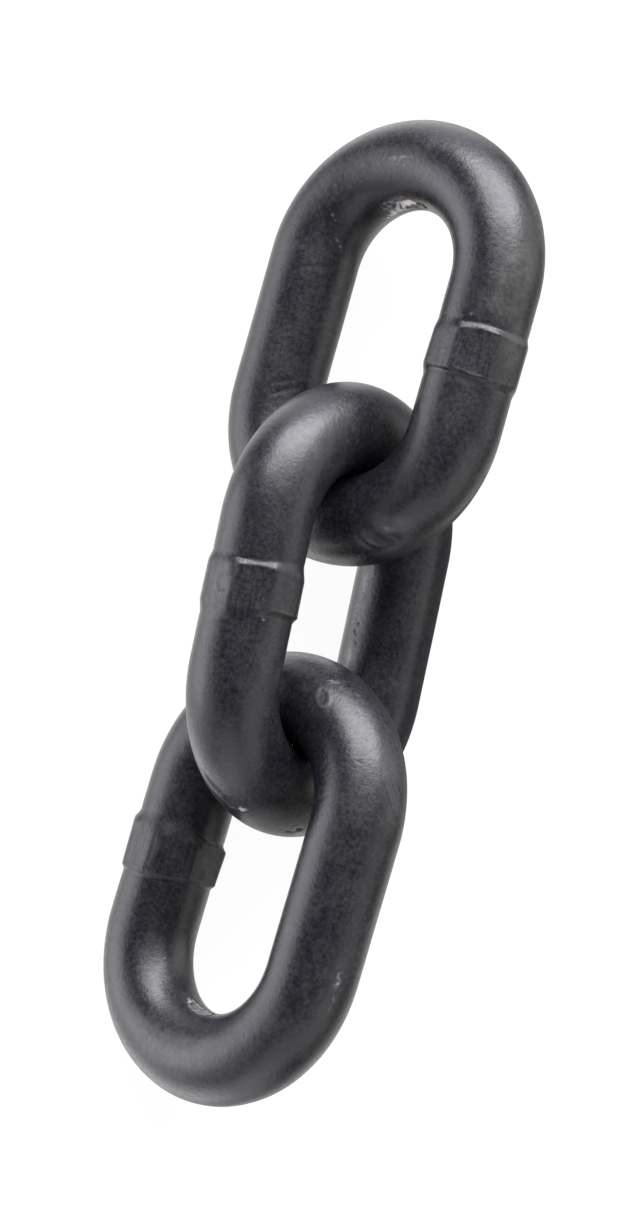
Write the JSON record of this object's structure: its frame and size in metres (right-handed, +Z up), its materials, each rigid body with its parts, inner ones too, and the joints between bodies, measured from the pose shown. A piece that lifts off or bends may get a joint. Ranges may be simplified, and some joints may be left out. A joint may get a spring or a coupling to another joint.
{
  "type": "length of lifting chain",
  "caption": "Taut length of welded short-link steel lifting chain, dark satin lacquer, with raised weld collars and open end eyes for a hook or shackle.",
  "frame": {"origin": "bottom centre of the chain's box, on the floor it lies on", "axes": "+Z up from the floor, +X along the chain towards the first link, +Y across it"},
  "size_m": [0.1438, 0.0378, 0.0376],
  "materials": {
    "lacquered_steel": "satin"
  },
  "bodies": {
    "first": {"first_link": "lacquered_steel"},
    "middle": {"middle_link": "lacquered_steel"},
    "last": {"last_link": "lacquered_steel"}
  },
  "joints": [
    {"name": "middle_swing", "type": "hinge", "parent": "first", "child": "middle", "pos_m": [0.01289, 0.00086, 0.01715], "axis": [-0.0331, 0.7026, -0.7108], "range_deg": [-105, 105]},
    {"name": "last_swing", "type": "hinge", "parent": "middle", "child": "last", "pos_m": [-0.02634, -0.00189, 0.0177], "axis": [0.0236, 0.7497, 0.6613], "range_deg": [-105, 105]}
  ]
}
